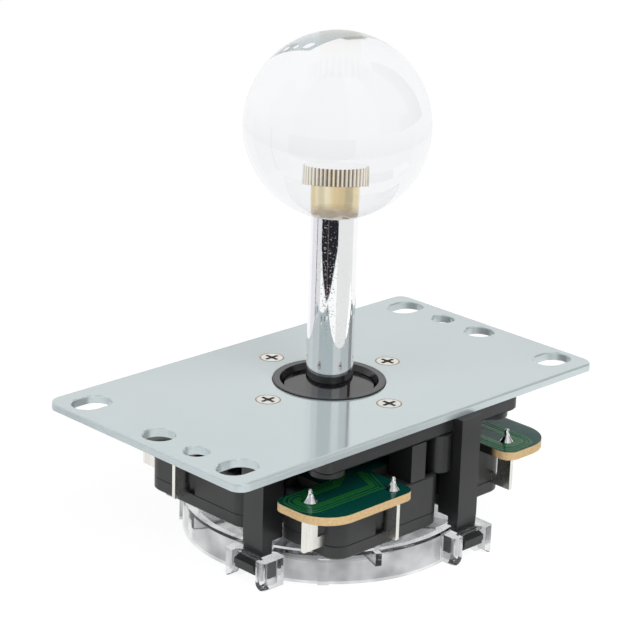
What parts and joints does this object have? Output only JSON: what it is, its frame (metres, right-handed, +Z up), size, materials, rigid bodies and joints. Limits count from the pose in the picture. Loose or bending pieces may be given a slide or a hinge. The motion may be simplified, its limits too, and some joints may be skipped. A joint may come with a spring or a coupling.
{
  "type": "arcade joystick lever",
  "caption": "Ball-topped arcade joystick lever on a flat mounting plate, with a moulded pivot housing, a circuit board, microswitches and a clear square gate.",
  "frame": {"origin": "centre of the mounting plate's top face, on the upright lever's axis", "axes": "+X along the plate's long side, +Y along its short side, +Z up the lever towards the ball"},
  "size_m": [0.095, 0.0634, 0.0974],
  "materials": {
    "plate_steel": "satin zinc plate",
    "screw_steel": "bright plated",
    "black_body": "moulded, slight sheen",
    "black_pivot": "greased, glossy",
    "plated_shaft": "bright, finely pitted",
    "clear_ball": "polished clear acrylic",
    "brass_insert": "turned and knurled",
    "spring_steel": "plain",
    "board_green": "green solder resist, tan edge",
    "solder": "bright",
    "header_cream": "natural nylon",
    "tinned_terminal": "tinned",
    "clear_gate": "clear moulding",
    "switch_case": "moulded",
    "switch_plunger": "moulded"
  },
  "bodies": {
    "base": {"mounting_plate": "plate_steel", "plate_screws": "screw_steel", "housing": "black_body", "circuit_board": "board_green", "solder_joints": "solder", "connector_shell": "header_cream", "connector_pins": "tinned_terminal", "gate_frame": "clear_gate", "restrictor": "clear_gate", "switch_base_front": "switch_case", "switch_cover_front": "switch_case", "switch_terminals_front": "tinned_terminal", "switch_base_right": "switch_case", "switch_cover_right": "switch_case", "switch_terminals_right": "tinned_terminal", "switch_base_back": "switch_case", "switch_cover_back": "switch_case", "switch_terminals_back": "tinned_terminal", "switch_base_left": "switch_case", "switch_cover_left": "switch_case", "switch_terminals_left": "tinned_terminal"},
    "spring_ring": {"return_spring": "spring_steel"},
    "carrier": {"pivot_ball": "black_pivot", "centering_flange": "black_body", "actuator": "black_body", "thrust_washer": "screw_steel"},
    "lever": {"shaft": "plated_shaft", "ball_top": "clear_ball", "ball_insert": "brass_insert", "e_clip": "spring_steel"},
    "plunger_front": {"switch_plunger_front": "switch_plunger"},
    "plunger_right": {"switch_plunger_right": "switch_plunger"},
    "plunger_back": {"switch_plunger_back": "switch_plunger"},
    "plunger_left": {"switch_plunger_left": "switch_plunger"}
  },
  "joints": [
    {"name": "tilt_side", "type": "hinge", "parent": "base", "child": "spring_ring", "pos_m": [0, 0, -0.0035], "axis": [0, 1, 0], "range_deg": [-8.5, 8.5], "stiffness_Nm_per_rad": 0.5, "deforming": ["return_spring"]},
    {"name": "tilt_fore", "type": "hinge", "parent": "spring_ring", "child": "carrier", "pos_m": [0, 0, -0.0035], "axis": [1, 0, 0], "range_deg": [-8.5, 8.5], "stiffness_Nm_per_rad": 0.5, "deforming": ["return_spring"]},
    {"name": "lever_spin", "type": "hinge", "parent": "carrier", "child": "lever", "pos_m": [0, 0, -0.0035], "axis": [0, 0, 1], "continuous": true},
    {"name": "press_front", "type": "slide", "parent": "base", "child": "plunger_front", "axis": [0, -1, 0], "range_m": [0, 0.0008], "stiffness_N_per_m": 400},
    {"name": "press_right", "type": "slide", "parent": "base", "child": "plunger_right", "axis": [1, 0, 0], "range_m": [0, 0.0008], "stiffness_N_per_m": 400},
    {"name": "press_back", "type": "slide", "parent": "base", "child": "plunger_back", "axis": [0, 1, 0], "range_m": [0, 0.0008], "stiffness_N_per_m": 400},
    {"name": "press_left", "type": "slide", "parent": "base", "child": "plunger_left", "axis": [-1, 0, 0], "range_m": [0, 0.0008], "stiffness_N_per_m": 400}
  ]
}
